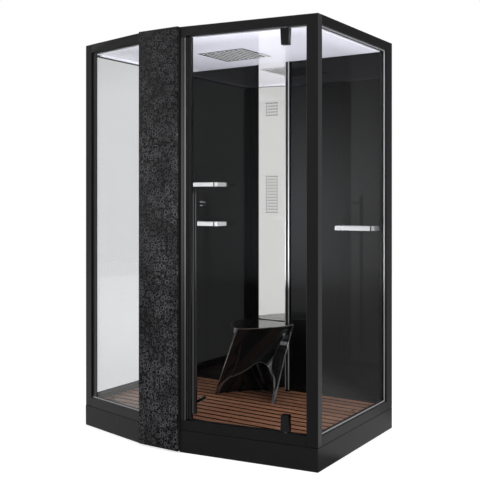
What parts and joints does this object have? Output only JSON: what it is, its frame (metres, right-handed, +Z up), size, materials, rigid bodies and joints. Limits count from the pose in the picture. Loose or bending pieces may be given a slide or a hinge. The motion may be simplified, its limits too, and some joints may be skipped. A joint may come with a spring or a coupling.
{
  "type": "shower cabin",
  "caption": "Black framed shower cabin with a bowed glass front, pivoting door, service column, dark back wall with body jets, rain head, slatted deck, shelves and a stool.",
  "frame": {"origin": "on the floor, under the middle of the whole object's box", "axes": "+X to the right as seen from the front, +Y from the door to the back wall, +Z up"},
  "size_m": [1.5, 1.0474, 2.18],
  "materials": {
    "frame_black": "satin black powder coat",
    "bead_bright": "bright anodised bead",
    "base_steel": "grey painted steel",
    "tray_acrylic": "black acrylic",
    "apron_black": "gloss black acrylic",
    "clear_glass": "clear safety glass",
    "wall_black": "high gloss black panel",
    "mirror_steel": "mirror polished",
    "ceiling_white": "gloss white sheet",
    "led_white": "opal light strip",
    "chrome": "polished chrome",
    "steel": "fine brushed",
    "rubber_black": "soft black",
    "seal_clear": "smoke grey seal",
    "teak": "oiled reddish brown",
    "pattern_glass": "back printed black glass",
    "inner_black": "fine grain black",
    "pipe_copper": "drawn copper",
    "valve_brass": "cast brass",
    "drain_grey": "grey moulded",
    "stool_black": "high gloss black",
    "handle_black": "black chrome"
  },
  "bodies": {
    "cabin": {"levelling_feet": "rubber_black", "base_beams": "base_steel", "tray": "tray_acrylic", "aprons": "apron_black", "drain_waste": "drain_grey", "drain_grate": "steel", "drain_trap": "drain_grey", "deck_slats": "teak", "deck_battens": "teak", "deck_lift_rings": "chrome", "post_front_right": "frame_black", "post_front_left": "frame_black", "back_posts": "frame_black", "jamb_door": "frame_black", "mullion_left_front": "frame_black", "bottom_rails": "frame_black", "top_rails": "frame_black", "back_frame": "base_steel", "glass_left_front": "clear_glass", "glass_left": "clear_glass", "glass_right": "clear_glass", "glazing_beads": "bead_bright", "back_panels": "wall_black", "jets_column": "mirror_steel", "jet_manifolds": "inner_black", "panel_trims": "frame_black", "ceiling_panel": "ceiling_white", "roof_lid": "ceiling_white", "ceiling_led_strips": "led_white", "shower_head": "chrome", "shower_head_face": "steel", "shower_head_nozzles": "rubber_black", "power_supply": "inner_black", "cable_gland": "inner_black", "column_glass": "pattern_glass", "column_backing": "inner_black", "column_housing": "frame_black", "column_inner_cover": "inner_black", "control_box": "inner_black", "mixer_valve": "valve_brass", "supply_pipes": "pipe_copper", "riser_pipes": "pipe_copper", "strike_seal": "seal_clear", "pivot_pins": "steel", "shelf_bands": "chrome", "shelf_plates": "chrome", "shelf_screws": "steel"},
    "door": {"door_glass": "clear_glass", "door_edge_profile": "frame_black", "door_hinge_seal": "seal_clear", "pivot_patches": "handle_black", "pivot_bushes": "inner_black", "handle_bar": "handle_black", "handle_standoffs": "handle_black", "handle_inner_caps": "chrome"},
    "stool": {"stool": "stool_black"},
    "temperature_knob": {"temperature_knob": "chrome"},
    "diverter_knob": {"diverter_knob": "chrome"}
  },
  "joints": [
    {"name": "door_pivot", "type": "hinge", "parent": "cabin", "child": "door", "pos_m": [0.57677, -0.38035, 0.174], "axis": [0, 0, 1], "range_deg": [0, 90]},
    {"name": "stool_lift", "type": "slide", "parent": "cabin", "child": "stool", "axis": [0, 0, 1], "range_m": [0, 0.3]},
    {"name": "temperature_turn", "type": "hinge", "parent": "cabin", "child": "temperature_knob", "pos_m": [-0.17, -0.40429, 1.1], "axis": [0, 1, 0], "range_deg": [0, 160]},
    {"name": "diverter_turn", "type": "hinge", "parent": "cabin", "child": "diverter_knob", "pos_m": [-0.066, -0.40429, 1.1], "axis": [0, 1, 0], "range_deg": [-60, 60]}
  ]
}
